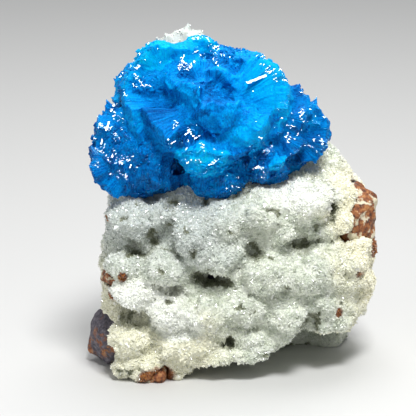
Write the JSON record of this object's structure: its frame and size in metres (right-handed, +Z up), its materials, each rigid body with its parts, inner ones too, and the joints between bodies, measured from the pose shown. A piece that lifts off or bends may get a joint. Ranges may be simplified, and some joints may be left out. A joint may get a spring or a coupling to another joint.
{
  "type": "cavansite mineral specimen",
  "caption": "Cavansite specimen: blue fans of bladed crystals on a pale druse zeolite crust over a block of basalt, standing on its flat underside.",
  "frame": {"origin": "middle of the bounding box's underside, on the surface that the specimen stands on", "axes": "+Z up, -Y towards the face with the blue crystals, +X to that face's right"},
  "size_m": [0.0405, 0.0302, 0.0473],
  "materials": {
    "basalt": "dull, broken, with rust stains",
    "zeolite": "druse of tiny glassy crystals",
    "cavansite": "silky blades with glassy tips"
  },
  "bodies": {
    "root": {"basalt_matrix": "basalt", "zeolite_crust": "zeolite", "cavansite_cluster": "cavansite"}
  },
  "joints": []
}
